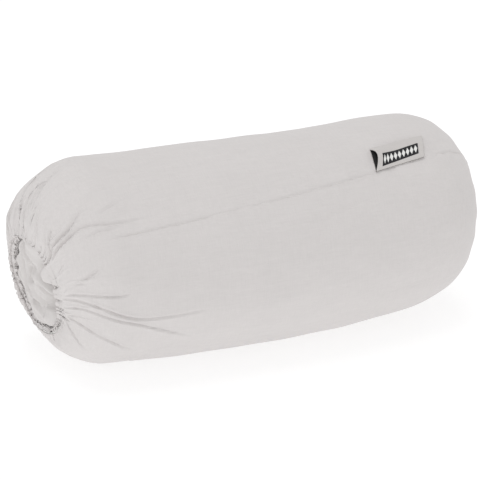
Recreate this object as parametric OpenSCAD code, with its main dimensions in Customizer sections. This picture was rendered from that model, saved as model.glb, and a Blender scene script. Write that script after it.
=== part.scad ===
// Bolster pillow: a cloth cover drawn in by an elastic mouth at one end, around a filled inner pillow.
// The bolster lies along X with its mouth towards -X, and rests on a flattened underside at z = 0.

/* [Cover] */
// Length of the filled cover, end to end
cover_length = 450; // [420:5:500]
// Diameter of the filled cover
cover_diameter = 200; // [190:2:220]
// Thickness of the cover's cloth
cloth_thickness = 1; // [0.8:0.1:1.2]
// How far the underside is flattened by its own weight
settle_depth = 5; // [3:1:8]
// Length over which the closed end rounds off
closed_end_depth = 109; // [100:1:115]
// How square the closed end's shoulder is (2 is a circle's arc)
closed_end_squareness = 3.5; // [3:0.1:4]

/* [Gathered mouth] */
// Diameter of the mouth that the elastic draws in
mouth_diameter = 92; // [84:2:100]
// Length over which the cloth is gathered towards the mouth
gathered_depth = 65; // [60:1:70]
// How square the gathered shoulder is (2 is a circle's arc)
gathered_squareness = 1.8; // [1.7:0.1:2]
// Width of the hem that holds the elastic
hem_width = 12; // [11:0.5:14]
// Thickness of the turned hem, elastic included
hem_thickness = 3.6; // [3.4:0.1:4]
// Width of the elastic band
elastic_width = 8; // [6:0.5:8.5]
// Thickness of the elastic band
elastic_thickness = 1.2; // [0.8:0.1:1.4]

/* [Seams and labels] */
// Angle of the side seam at mid length, from the top towards the front
seam_angle = 46.5; // [30:0.5:60]
// How much the side seam winds round the cover, degrees per millimetre of length
seam_twist = 0.061; // [0:0.001:0.08]
// Diameter of the sewing thread
thread_diameter = 0.6; // [0.4:0.1:0.6]
// Length of the woven label along the seam
label_length = 56; // [50:1:60]
// Height of the woven label, from the seam to its fold
label_height = 25; // [20:1:30]
// Distance of the label's middle from the cover's middle
label_offset = 128; // [110:1:130]
// Thickness of the label's tape
tape_thickness = 0.5; // [0.4:0.1:0.6]
// Length of the care label along the seam inside the cover
care_label_length = 30; // [20:1:40]
// Height of the care label inside the cover
care_label_height = 18; // [15:1:25]

/* [Inner pillow] */
// Room between the cover and the inner pillow, all round
insert_gap = 1.5; // [1.5:0.1:2]
// Thickness of the inner pillow's liner
liner_thickness = 0.8; // [0.5:0.1:1]
// How far the inner pillow stays behind the mouth
insert_setback = 14; // [14:1:18]
// How square the inner pillow's mouth end is (2 is a circle's arc)
insert_squareness = 2.6; // [2.2:0.1:2.6]
// Length of the hand-sewn closing in the liner's seam
closing_length = 110; // [80:5:140]

/* [Hidden] */

$fn = 96;
half = cover_length / 2;
cover_r = cover_diameter / 2;
axis_z = cover_r - settle_depth;
mouth_r = mouth_diameter / 2;
gather_x = -half + gathered_depth;
profile_steps = 24;
big = 2 * cover_length;

thread_r = thread_diameter / 2;
thread_depth = cloth_thickness / 2;
stitch_pitch = 6;
end_seam_r = 70;
side_seam_end_x = closed_x(end_seam_r, 0);

hem_x = -half + 0.3 + hem_width / 2;
hem_r = mouth_r - hem_thickness / 2;
hem_cloth = 0.7;

label_gap = 0.8;
tape_gap = 1;
label_r = cover_r + label_gap;
label_arc = label_height / label_r * 180 / PI;
label_angle = seam_at(label_offset) - label_arc / 2;
seam_slope = atan(cover_r * seam_twist * PI / 180);
care_label_x = gather_x + 8;
care_label_r = cover_r - cloth_thickness - 0.3;
care_label_thickness = 0.4;

insert_r = cover_r - cloth_thickness - insert_gap;
insert_inset = cloth_thickness + insert_gap;
insert_floor = cloth_thickness + 0.3;
insert_mouth_x = -half + insert_setback;
insert_dome = gathered_depth - insert_setback;
liner_mouth_seam_x = insert_mouth_x + 20;
liner_closed_seam_x = half - 20;
filling_gap = 0.2;
liner_seam_angle = seam_angle + 180;
closing_pitch = 5;
closing_bite = 4;
closing_gap = 5;

// Radius of a rounded end at the share s of its depth, from its tip
function dome_radius(s, squareness, r) = r * pow(1 - pow(1 - s, squareness), 1 / squareness);

// Place along a rounded end, as a share of its depth from the tip, for the step angle a
function dome_share(a, squareness) = 1 - pow(cos(a), 2 / squareness);

// Share of a rounded end's full radius, for the step angle a
function dome_spread(a, squareness) = pow(sin(a), 2 / squareness);

// Half outlines as [radius, x] points, from the mouth end to the closed end, at a depth under the outside
function gathered_outline(inset) = [for (i = [0:profile_steps]) let (a = 90 * i / profile_steps)
    [mouth_r + (cover_r - inset - mouth_r) * dome_spread(a, gathered_squareness),
     -half + inset + (gathered_depth - inset) * dome_share(a, gathered_squareness)]];
function closed_outline(inset) = [for (i = [0:profile_steps]) let (a = 90 - 90 * i / profile_steps)
    [(cover_r - inset) * dome_spread(a, closed_end_squareness),
     half - inset - (closed_end_depth - inset) * dome_share(a, closed_end_squareness)]];
function insert_mouth_outline(inset) = [for (i = [0:profile_steps]) let (a = 90 * i / profile_steps)
    [(insert_r - inset) * dome_spread(a, insert_squareness),
     insert_mouth_x + inset + (insert_dome - inset) * dome_share(a, insert_squareness)]];

// Radius of the closed end at x, and x of the closed end at a radius, at a depth under the outside
function closed_radius(x, inset) = x < half - closed_end_depth ? cover_r - inset
    : dome_radius((half - inset - x) / (closed_end_depth - inset), closed_end_squareness, cover_r - inset);
function closed_x(r, inset) = half - inset - (closed_end_depth - inset)
    * (1 - pow(1 - pow(r / (cover_r - inset), closed_end_squareness), 1 / closed_end_squareness));

// Radius of the inner pillow at x, at a depth under its outside
function insert_radius(x, inset) = x < insert_mouth_x + insert_dome
    ? dome_radius((x - insert_mouth_x - inset) / (insert_dome - inset), insert_squareness, insert_r - inset)
    : closed_radius(x, insert_inset + inset);

// Angle of the cover's side seam at x, from the top towards the front
function seam_at(x) = seam_angle - seam_twist * x;

// Point at x on a circle of radius r round the bolster's axis, at an angle from the top towards the front
function round_point(x, r, angle) = [x, -r * sin(angle), axis_z + r * cos(angle)];

// Points of a flat slot shape with round ends, centred on [r, x], long in x
function slot_points(r, x, width, thickness) = let (e = thickness / 2, s = width / 2 - e)
    [for (side = [1, -1], a = [0:15:180]) [r + side * e * cos(a), x + side * (s + e * sin(a))]];

// Solid of revolution about the bolster's axis from a [radius, x] outline, cut flat at z = floor_z
module settled_round(outline, floor_z) {
    intersection() {
        translate([0, 0, axis_z]) rotate([0, 90, 0]) rotate_extrude() polygon(outline);
        translate([-big / 2, -big / 2, floor_z]) cube(big);
    }
}

// Ring about the bolster's axis with a round section of radius section_r
module ring_at(x, r, section_r) {
    translate([x, 0, axis_z]) rotate([0, 90, 0]) rotate_extrude() translate([r, 0]) circle(section_r, $fn = 16);
}

// Everything between two places along X
module slab(from_x, to_x) {
    translate([from_x, -big / 2, -big / 2]) cube([to_x - from_x, big, big]);
}

// Round rod from point a to point b
module rod(a, b, r) {
    d = b - a;
    translate(a) rotate([0, acos(d[2] / norm(d)), atan2(d[1], d[0])]) cylinder(h = norm(d), r = r, $fn = 16);
}

// Line of stitches through a list of points, with a short break between one stitch and the next
module stitches(points, r) {
    for (i = [0:len(points) - 2]) {
        rod(points[i], points[i] + 0.85 * (points[i + 1] - points[i]), r);
    }
}

// The whole cover's cloth, mouth open
module cover_shell() {
    difference() {
        settled_round(concat([[0, -half]], gathered_outline(0), closed_outline(0)), 0);
        settled_round(concat([[0, -half + cloth_thickness]], gathered_outline(cloth_thickness),
                             closed_outline(cloth_thickness)), cloth_thickness);
        translate([-half - 1, 0, axis_z]) rotate([0, 90, 0]) cylinder(h = cloth_thickness + 2, r = mouth_r);
    }
}

// The inner pillow's outer form at a depth under its outside
module insert_form(inset) {
    settled_round(concat(insert_mouth_outline(inset), closed_outline(insert_inset + inset)), insert_floor + inset);
}

// The inner pillow's liner
module liner_shell() {
    difference() {
        insert_form(0);
        insert_form(liner_thickness);
    }
}

// Tube and closed end, one piece of cloth
module cover_cloth() {
    color([0.84, 0.82, 0.81]) intersection() {
        cover_shell();
        slab(gather_x, big);
    }
}

// The same cloth where the elastic draws it in, which stretches open when the inner pillow is taken out
module gathered_end() {
    color([0.82, 0.80, 0.79]) intersection() {
        cover_shell();
        slab(-big, gather_x);
    }
}

// Hem turned to the inside of the mouth, a flat channel for the elastic
module hem_casing() {
    color([0.80, 0.78, 0.77]) translate([0, 0, axis_z]) rotate([0, 90, 0]) rotate_extrude() difference() {
        polygon(slot_points(hem_r, hem_x, hem_width, hem_thickness));
        polygon(slot_points(hem_r, hem_x, hem_width - 2 * hem_cloth, hem_thickness - 2 * hem_cloth));
    }
}

// Flat elastic ring inside the hem
module elastic_band() {
    color([0.93, 0.93, 0.91]) translate([hem_x - elastic_width / 2, 0, axis_z]) rotate([0, 90, 0]) difference() {
        cylinder(h = elastic_width, r = hem_r + elastic_thickness / 2);
        translate([0, 0, -1]) cylinder(h = elastic_width + 2, r = hem_r - elastic_thickness / 2);
    }
}

// Thread that closes the hem round the elastic
module hem_stitches() {
    color([0.86, 0.85, 0.83]) ring_at(hem_x + hem_width / 2 - hem_cloth / 2, hem_r, thread_r);
}

// Thread of the winding side seam, from the gathers to the closed end
module side_seam_thread() {
    color([0.86, 0.85, 0.83]) stitches([for (x = [gather_x + 2:stitch_pitch:side_seam_end_x])
        round_point(x, closed_radius(x, thread_depth), seam_at(x))], thread_r);
}

// Thread of the seam straight across the closed end, in line with the side seam
module end_seam_thread() {
    color([0.86, 0.85, 0.83]) stitches([for (r = [end_seam_r:-stitch_pitch:-end_seam_r])
        round_point(closed_x(abs(r), thread_depth), r, seam_at(side_seam_end_x))], thread_r);
}

// Blank care label caught in the side seam, inside the cover
module care_label() {
    care_arc = care_label_height / care_label_r * 180 / PI;
    color([0.95, 0.95, 0.94]) translate([care_label_x, 0, axis_z]) rotate([seam_at(care_label_x), 0, 0])
        rotate([0, 90, 0]) rotate([0, 0, 180]) rotate_extrude(angle = care_arc)
            translate([care_label_r - care_label_thickness, 0]) square([care_label_thickness, care_label_length]);
}

// Folded loop of tape with a closed fold at the top and open sides, lying against the cover above the seam
module woven_label() {
    loop_r = label_r + tape_thickness;
    loop_height = label_height - 2 * tape_thickness;
    color([0.78, 0.78, 0.77]) translate([label_offset, 0, axis_z]) rotate([label_angle, 0, 0])
        rotate([0, 0, seam_slope]) difference() {
            tape_block(label_r, 2 * tape_thickness + tape_gap, label_length, label_height);
            tape_block(loop_r, tape_gap, label_length + 2, loop_height);
        }
}

// Curved block of inner radius r round the local X axis, centred on its top
module tape_block(r, thickness, block_length, height) {
    intersection() {
        translate([-block_length / 2, 0, 0]) rotate([0, 90, 0]) difference() {
            cylinder(h = block_length, r = r + thickness);
            translate([0, 0, -1]) cylinder(h = block_length + 2, r = r);
        }
        translate([-block_length / 2, -height / 2, 0]) cube([block_length, height, r + thickness]);
    }
}

// Side wall of the inner pillow's liner
module liner_tube() {
    color([0.95, 0.95, 0.95]) intersection() {
        liner_shell();
        slab(liner_mouth_seam_x, liner_closed_seam_x);
    }
}

// Crowned end of the liner towards the mouth
module liner_mouth_end() {
    color([0.93, 0.93, 0.93]) intersection() {
        liner_shell();
        slab(-big, liner_mouth_seam_x);
    }
}

// Crowned end of the liner towards the closed end
module liner_closed_end() {
    color([0.93, 0.93, 0.93]) intersection() {
        liner_shell();
        slab(liner_closed_seam_x, big);
    }
}

// Fibre filling
module filling() {
    color([0.98, 0.98, 0.97]) insert_form(liner_thickness + filling_gap);
}

// Thread of the liner's straight side seam, on both sides of the hand-sewn closing
module liner_seam_thread() {
    closing_end = closing_length / 2 + closing_gap;
    for (stretch = [[liner_mouth_seam_x + 2, -closing_end], [closing_end, liner_closed_seam_x - 2]]) {
        color([0.90, 0.90, 0.90]) stitches([for (x = [stretch[0]:stitch_pitch:stretch[1]])
            round_point(x, insert_radius(x, liner_thickness / 2), liner_seam_angle)], thread_r / 2);
    }
}

// Thread of the seam round the liner's mouth end
module liner_mouth_end_thread() {
    color([0.90, 0.90, 0.90])
        ring_at(liner_mouth_seam_x, insert_radius(liner_mouth_seam_x, liner_thickness / 2), thread_r / 2);
}

// Thread of the seam round the liner's closed end
module liner_closed_end_thread() {
    color([0.90, 0.90, 0.90])
        ring_at(liner_closed_seam_x, insert_radius(liner_closed_seam_x, liner_thickness / 2), thread_r / 2);
}

// Short stitches across the seam, which close the gap that the liner was filled through
module liner_closing_stitches() {
    half_bite = closing_bite / 2 / insert_r * 180 / PI;
    color([0.88, 0.88, 0.88]) for (x = [-closing_length / 2:closing_pitch:closing_length / 2]) {
        rod(round_point(x, insert_r - liner_thickness / 2, liner_seam_angle - half_bite),
            round_point(x + closing_pitch / 2, insert_r - liner_thickness / 2, liner_seam_angle + half_bite),
            thread_r / 2);
    }
}

cover_cloth();
gathered_end();
hem_casing();
elastic_band();
hem_stitches();
side_seam_thread();
end_seam_thread();
care_label();
woven_label();
liner_tube();
liner_mouth_end();
liner_closed_end();
filling();
liner_seam_thread();
liner_mouth_end_thread();
liner_closed_end_thread();
liner_closing_stitches();
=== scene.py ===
"""Looks of the bolster pillow: cloth cover with a gathered elastic mouth, woven label, and inner pillow.

Shapes are worked out in millimetres on the straight, round bolster of the CAD model. settled() then gives
each place where the filled bolster lies at rest: a little fuller in the middle, bowed, flat underneath, and
with its mouth drawn down. Angles run round the bolster from its top towards the front (-Y).
"""

import bpy
import numpy as np
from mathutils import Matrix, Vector


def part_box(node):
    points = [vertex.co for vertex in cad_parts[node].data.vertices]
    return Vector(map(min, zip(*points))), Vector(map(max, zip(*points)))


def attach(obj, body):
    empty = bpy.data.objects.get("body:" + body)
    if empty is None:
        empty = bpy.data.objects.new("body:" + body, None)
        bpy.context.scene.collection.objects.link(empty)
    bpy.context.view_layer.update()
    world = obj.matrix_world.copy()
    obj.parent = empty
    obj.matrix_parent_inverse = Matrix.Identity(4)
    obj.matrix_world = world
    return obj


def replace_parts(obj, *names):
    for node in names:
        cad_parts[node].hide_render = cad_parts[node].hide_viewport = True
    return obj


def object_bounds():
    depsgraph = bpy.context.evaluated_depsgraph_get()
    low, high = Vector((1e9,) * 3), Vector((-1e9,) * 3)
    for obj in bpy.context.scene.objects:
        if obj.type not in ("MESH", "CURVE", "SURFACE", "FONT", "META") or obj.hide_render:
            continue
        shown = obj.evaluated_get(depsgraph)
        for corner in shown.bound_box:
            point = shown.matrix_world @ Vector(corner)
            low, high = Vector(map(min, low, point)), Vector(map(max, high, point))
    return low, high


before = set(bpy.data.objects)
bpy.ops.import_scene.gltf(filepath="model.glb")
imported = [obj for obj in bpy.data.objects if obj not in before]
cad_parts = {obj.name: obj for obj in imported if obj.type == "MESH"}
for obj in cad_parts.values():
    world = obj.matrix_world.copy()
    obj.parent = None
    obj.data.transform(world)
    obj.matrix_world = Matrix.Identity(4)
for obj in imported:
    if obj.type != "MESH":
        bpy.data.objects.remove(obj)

MM = 0.001
cad_low, cad_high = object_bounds()

# ---------- sizes of the straight bolster, from the frame
HALF = (cad_high.x - cad_low.x) / 2 / MM
RADIUS = (cad_high.y - cad_low.y) / 2 / MM
AXIS_Z = cad_high.z / MM - RADIUS
GATHER_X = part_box("gathered_end")[1].x / MM
GATHER_DEPTH = GATHER_X + HALF
CLOSED_DEPTH = 109.0
# How square the rounded ends are: 2 is an ellipse, and more is squarer
CLOSED_SQUARENESS = 3.5
GATHER_SQUARENESS = 1.8
MOUTH_R = 48.0
CLOTH = 1.0
# Angle of the side seam at the middle in degrees, and how far it turns for each millimetre along the bolster
SEAM_ANGLE = 46.5
SEAM_TWIST = 0.061
# The seam across the closed end carries on from the end of the side seam
SIDE_SEAM_END_X = 206
END_SEAM_R = 70.0
END_SEAM_ANGLE = SEAM_ANGLE - SEAM_TWIST * SIDE_SEAM_END_X

rng = np.random.default_rng(7)


def dome(turn, squareness):
    """Shares of the depth and of the spread along a rounded end, for a turn of 0 at its tip to 90 degrees."""
    return 1 - np.cos(turn) ** (2 / squareness), np.sin(turn) ** (2 / squareness)


def seam_at(x):
    """Angle of the side seam at x, in degrees."""
    return SEAM_ANGLE - SEAM_TWIST * x


def on_axis(x, r, degrees):
    """Points of the straight bolster, which has its axis along X through the origin."""
    x, r, turn = np.broadcast_arrays(x, r, np.radians(degrees))
    return np.stack([x, -r * np.sin(turn), r * np.cos(turn)], axis=-1).astype(float)


def cover_radius(x):
    """Radius of the straight cover at x."""
    at_mouth = np.clip((np.asarray(x, float) + HALF) / GATHER_DEPTH, 0, 1)
    at_closed = np.clip((HALF - np.asarray(x, float)) / CLOSED_DEPTH, 0, 1)
    spread = (1 - (1 - at_mouth) ** GATHER_SQUARENESS) ** (1 / GATHER_SQUARENESS)
    closed = (1 - (1 - at_closed) ** CLOSED_SQUARENESS) ** (1 / CLOSED_SQUARENESS)
    return np.minimum(MOUTH_R + (RADIUS - MOUTH_R) * spread, RADIUS * closed)


def smooth_step(value, start, end):
    """0 before start, 1 after end, and a smooth rise between them."""
    t = np.clip((value - start) / (end - start), 0, 1)
    return t * t * (3 - 2 * t)


# ---------- how the filled bolster settles
# Width at the ends, how much it falls from the mouth to the closed end, and how much fuller the middle is
WIDTH_SHARE = 0.94
TAPER = 0.022
FULLNESS = 0.062
# How far the middle bows back, and how far the ends lift
BOW = 15.0
END_LIFT = 4.7
END_LIFT_SLOPE = 1.8
# The gathered end sinks and leans, its ring is drawn down and turned, and its upper part is pulled back in
MOUTH_DROP = 5.1
MOUTH_LEAN = 0.126
MOUTH_SHIFT_Y = 2.3
RING_SHIFT = (6.5, -1.5, -12.8)
RING_YAW = 0.16
END_PULL = 5.5
# How gently the cloth turns from its side onto the floor
FLOOR_SOFTNESS = 1.2


def settled(points, floor=0.3):
    """Where points of the straight bolster are on the filled one at rest, in millimetres in the row frame."""
    x, y, z = np.moveaxis(np.asarray(points, float), -1, 0)
    k = x / HALF
    swell = WIDTH_SHARE * (1 - TAPER * k + FULLNESS * (1 - k * k))
    near_mouth = np.clip(1 - (x + HALF) / GATHER_DEPTH, 0, 1) ** 2
    ring = smooth_step(-np.hypot(y, z), -90, -46) * smooth_step(-x, 150, 190)
    new_x = x - MOUTH_LEAN * z * near_mouth + (RING_SHIFT[0] - RING_YAW * y) * ring
    new_x = new_x + END_PULL * smooth_step(-x, 160, 212) * smooth_step(z, -85, -25)
    new_y = y * swell - BOW * (1 - k * k) + BOW / 2 + MOUTH_SHIFT_Y * near_mouth + RING_SHIFT[1] * ring
    new_z = z * swell + END_LIFT * k ** 2 + END_LIFT_SLOPE * k ** 3 - MOUTH_DROP * near_mouth
    new_z = new_z + RING_SHIFT[2] * ring + AXIS_Z - floor
    new_z = np.logaddexp(0, new_z / FLOOR_SOFTNESS) * FLOOR_SOFTNESS + floor
    return np.stack([new_x, new_y, new_z], axis=-1)


# ---------- meshes
class Cloth:
    """Vertices and faces of one mesh, collected ring by ring."""

    def __init__(self):
        self.points = []
        self.faces = []
        self.parts = []

    def add(self, points):
        """Adds points and returns their indices."""
        start = len(self.points)
        self.points.extend(np.asarray(points, float).reshape(-1, 3).tolist())
        return list(range(start, len(self.points)))

    def face(self, corners, part=0):
        """Adds one face; part is the number of its material."""
        self.faces.append(corners)
        self.parts.append(part)

    def bridge(self, ring, following, part=0, closed=True):
        """Joins two rings; the second has as many points as the first, or a whole fraction of them."""
        step = len(ring) // len(following)
        for j in range(len(following) if closed else len(following) - 1):
            this, after = following[j], following[(j + 1) % len(following)]
            if step == 1:
                self.face((ring[j], ring[(j + 1) % len(ring)], after, this), part)
                continue
            for k in range(step):
                self.face((ring[j * step + k], ring[(j * step + k + 1) % len(ring)], this), part)
            self.face((ring[((j + 1) * step) % len(ring)], after, this), part)

    def cap(self, ring, point, at_start=False):
        """Closes the last ring of a grid, or its first one, with a fan to one point."""
        tip = self.add([point])[0]
        for this, after in zip(ring, ring[1:] + ring[:1]):
            self.face((tip, after, this) if at_start else (this, after, tip))

    def grid(self, grid, part=0, closed=True):
        """Adds a grid of rows and joins them, and returns the rings."""
        rings = [self.add(row) for row in grid]
        for ring, following in zip(rings[:-1], rings[1:]):
            self.bridge(ring, following, part, closed)
        return rings

    def closed_grid(self, grid):
        """Adds a grid of closed rows with a fan over each end."""
        rings = self.grid(grid)
        self.cap(rings[-1], grid[-1].mean(axis=0))
        self.cap(rings[0], grid[0].mean(axis=0), at_start=True)

    def piece(self, name, materials, body, slot):
        """The finished object, smooth, in metres, riding on its body."""
        mesh = bpy.data.meshes.new(name)
        mesh.from_pydata([[c * MM for c in p] for p in self.points], [], self.faces)
        for material in materials:
            mesh.materials.append(material)
        mesh.polygons.foreach_set("material_index", self.parts)
        mesh.polygons.foreach_set("use_smooth", [True] * len(self.faces))
        mesh.validate()
        piece = bpy.data.objects.new(name, mesh)
        bpy.context.scene.collection.objects.link(piece)
        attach(piece, body)
        return piece


def normals(grid):
    """Unit normals of a grid of closed rows. They point away from the axis on a tube."""
    along = np.gradient(grid, axis=0)
    around = np.roll(grid, -1, axis=1) - np.roll(grid, 1, axis=1)
    across = np.cross(around, along)
    return across / np.maximum(np.linalg.norm(across, axis=-1, keepdims=True), 1e-9)


def spline(grid, places, closed):
    """Rows of a grid at fractional places, smoothed by a cubic B-spline."""
    first = np.floor(places).astype(int)
    t = (places - first).reshape(-1, *[1] * (grid.ndim - 1))
    weights = ((1 - t) ** 3, 3 * t ** 3 - 6 * t ** 2 + 4, -3 * t ** 3 + 3 * t ** 2 + 3 * t + 1, t ** 3)
    total = 0
    for k, weight in enumerate(weights):
        row = first + k - 1
        row = row % len(grid) if closed else np.clip(row, 0, len(grid) - 1)
        total = total + weight * grid[row] / 6
    return total


RIPPLE_WAVES = 14


def ripple(points, wavelength, seed):
    """Smooth random unevenness of about unit size at points, with a typical wavelength in millimetres."""
    draw = np.random.default_rng(seed)
    total = np.zeros(points.shape[:-1])
    for _ in range(RIPPLE_WAVES):
        direction = draw.normal(size=3)
        direction *= 2 * np.pi / wavelength / np.linalg.norm(direction) * draw.uniform(0.7, 1.3)
        total += np.sin(points @ direction + draw.uniform(0, 2 * np.pi))
    return total * np.sqrt(2 / RIPPLE_WAVES)


def smooth_line(points):
    """A line with its corners cut twice."""
    points = np.asarray(points, float)
    for _ in range(2):
        near = 0.75 * points[:-1] + 0.25 * points[1:]
        far = 0.25 * points[:-1] + 0.75 * points[1:]
        cut = np.stack([near, far], 1).reshape(-1, points.shape[1])
        points = np.concatenate([points[:1], cut, points[-1:]])
    return points


# Power of the distance in a crease's section: 2 is a soft valley, and 1 a sharp one
CREASE_SHARPNESS = 1.25


def crease(places, out, line, width, lean, ridge, face_x=None):
    """How deep a crease pulls each place in. The line's points are (x, angle, depth) on the cover, or
    (radius, angle, depth) on a flat end at face_x. lean widens one side, and ridge lifts the cloth beside."""
    line = smooth_line(line)
    if face_x is None:
        path = on_axis(line[:, 0], cover_radius(line[:, 0]), line[:, 1])
    else:
        path = on_axis(face_x, line[:, 0], line[:, 1])
    nearest = np.full(places.shape[:-1], np.inf)
    depth = np.zeros(places.shape[:-1])
    side = np.zeros(places.shape[:-1])
    for a, b, depth_a, depth_b in zip(path[:-1], path[1:], line[:-1, 2], line[1:, 2]):
        step = b - a
        t = np.clip((places - a) @ step / (step @ step), 0, 1)
        off = places - a - t[..., None] * step
        distance = np.linalg.norm(off, axis=-1)
        nearer = distance < nearest
        nearest = np.where(nearer, distance, nearest)
        depth = np.where(nearer, depth_a + (depth_b - depth_a) * t, depth)
        side = np.where(nearer, np.einsum("...i,...i", np.cross(step, off), out), side)
    away = nearest / np.where(side > 0, width * lean, width)
    return depth * (np.exp(-away ** CREASE_SHARPNESS) - ridge * np.exp(-(away - 2) ** 2))


# ---------- cloth simulation of the gathered mouth
SIM_COLUMNS = 264
SIM_ROWS = 46
SIM_START_X = -140.0
SIM_END_X = -258.0
SIM_FRAMES = 42
SIM_DRAWN_FRAME = 28
# The cloth is light and bends easily. Its weight is left out, because the filling carries it.
SIM_SETTINGS = {
    "quality": 8, "mass": 0.3, "air_damping": 1, "tension_stiffness": 40, "compression_stiffness": 40,
    "shear_stiffness": 5, "bending_stiffness": 0.01, "tension_damping": 5, "compression_damping": 5,
    "shear_damping": 5, "bending_damping": 0.5,
}
SIM_COLLISION_QUALITY = 3
SIM_FRICTION = 2.0
# How far the cloth keeps off the filled end, and how deep inside it is still pushed out, in metres
SIM_CLEARANCE = 0.0008
SIM_INNER_CLEARANCE = 0.02
# The last rows are pinned where the elastic holds them, in small pleats
PINNED_LIP_ROWS = 3
PLEATS = 48
PLEAT_HEIGHT = 3.0
LIP_X = -226.5
LIP_ROW_STEP = 1.6
DOME_INSET = 1.2
# Random bumps that start the folds off
BUMP_COUNT = 60
BUMP_HEIGHT = 0.2


def pleat_phase(turn):
    """Phase of the pleats at a turn round the mouth, in radians; their spacing varies a little."""
    return PLEATS * turn + 0.9 * np.sin(3 * turn + 1) + 0.7 * np.sin(5 * turn + 2.2) + 0.4 * np.sin(11 * turn)


def gather_start():
    """The tube of cloth before it is drawn in, and the drawn places of its last rows, as straight points."""
    degrees = np.arange(SIM_COLUMNS) * 360 / SIM_COLUMNS
    x = np.linspace(SIM_START_X, SIM_END_X, SIM_ROWS)
    turn = np.radians(degrees)
    bumps = np.zeros((SIM_ROWS, SIM_COLUMNS))
    for _ in range(BUMP_COUNT):
        centre, width = rng.uniform(-250, -160), rng.uniform(15, 50)
        wave = np.sin(rng.integers(6, 40) * turn + rng.uniform(0, 2 * np.pi))
        bumps += rng.normal() * np.outer(np.exp(-((x - centre) / width) ** 2), wave)
    bumps *= BUMP_HEIGHT / bumps.std()
    free = np.clip((GATHER_X - x) / 20, 0, 1)
    tube = on_axis(x[:, None], RADIUS + (bumps + 0.6) * free[:, None], degrees[None, :])
    drawn = tube.copy()
    ring_r = MOUTH_R - 0.5 + PLEAT_HEIGHT * np.sin(pleat_phase(turn))
    for row in range(SIM_ROWS - PINNED_LIP_ROWS, SIM_ROWS):
        drawn[row] = on_axis(LIP_X - LIP_ROW_STEP * (SIM_ROWS - 1 - row), ring_r, degrees)
    return tube, drawn


def simulate_gather():
    """Draws the tube's end in over the filled end with a cloth simulation, and returns the cloth's grid."""
    tube, drawn = gather_start()
    scene = bpy.context.scene
    turn = np.linspace(0, np.pi / 2, 30)
    share, spread = dome(turn, GATHER_SQUARENESS)
    form_x = -HALF + DOME_INSET + (GATHER_DEPTH - DOME_INSET) * share
    form_r = MOUTH_R + (RADIUS - DOME_INSET - MOUTH_R) * spread
    form_x = np.concatenate([[-HALF + 6, -HALF + 3], form_x, [-100, -40]])
    form_r = np.concatenate([[0.5, 25], form_r, [RADIUS - DOME_INSET] * 2])
    form = Cloth()
    form.grid(on_axis(form_x[:, None], form_r[:, None], np.arange(0, 360, 3.75)[None, :]))
    filled = form.piece("sim_form", [], "cover", "cover_cloth")
    filled.modifiers.new("collision", "COLLISION")
    filled.collision.thickness_outer = SIM_CLEARANCE
    filled.collision.thickness_inner = SIM_INNER_CLEARANCE
    filled.collision.cloth_friction = SIM_FRICTION

    sheet = Cloth()
    sheet.grid(tube)
    cloth = sheet.piece("sim_cloth", [], "cover", "cover_cloth")
    pinned = cloth.vertex_groups.new(name="pinned")
    for row, x in enumerate(tube[:, 0, 0]):
        if x > GATHER_X + 8 or row >= SIM_ROWS - PINNED_LIP_ROWS:
            pinned.add(range(row * SIM_COLUMNS, (row + 1) * SIM_COLUMNS), 1.0, "REPLACE")
    cloth.shape_key_add(name="flat")
    key = cloth.shape_key_add(name="drawn")
    key.data.foreach_set("co", (drawn * MM).ravel())
    key.value = 0
    key.keyframe_insert("value", frame=1)
    key.value = 1
    key.keyframe_insert("value", frame=SIM_DRAWN_FRAME)

    modifier = cloth.modifiers.new("cloth", "CLOTH")
    for setting, value in SIM_SETTINGS.items():
        setattr(modifier.settings, setting, value)
    modifier.settings.vertex_group_mass = "pinned"
    modifier.settings.effector_weights.gravity = 0
    modifier.collision_settings.distance_min = SIM_CLEARANCE
    modifier.collision_settings.collision_quality = SIM_COLLISION_QUALITY
    modifier.point_cache.frame_end = SIM_FRAMES
    for frame_number in range(1, SIM_FRAMES + 1):
        scene.frame_set(frame_number)
    result = cloth.evaluated_get(bpy.context.evaluated_depsgraph_get()).data
    places = np.zeros(len(result.vertices) * 3, np.float32)
    result.vertices.foreach_get("co", places)
    scene.frame_set(1)
    for done in (cloth, filled):
        bpy.data.objects.remove(done)
    return places.reshape(tube.shape).astype(float) / MM


gathered = simulate_gather()


# ---------- the cover
COLUMNS = 400
INNER_COLUMNS = 80
# The angle where the columns are closest together, and how much closer they are there
FRONT = 80.0
FRONT_SHARE = 0.48
GATHER_ROWS = 88
ROW_SPACING = 3.6
HEM_ROWS = 22
HEM_REACH = 8.5
STITCH_REACH = 3.8
# How much of the simulated folds is kept, against their average over a window of columns. It is less within
# CALM_HALF of CALM_MIDDLE, where the folds of the photo are drawn, and at the lip.
GATHER_HEIGHT = 1.15
GATHER_WINDOW = 9
CALM_HEIGHT = 0.45
CALM_MIDDLE = 100.0
CALM_HALF = 92.0
CALM_BLEND = 12.0
LIP_CALM = 0.85
# Between these two places along the bolster, the simulated cloth turns into the plain tube
SMOOTH_START_X = -178
SMOOTH_END_X = -150
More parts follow.
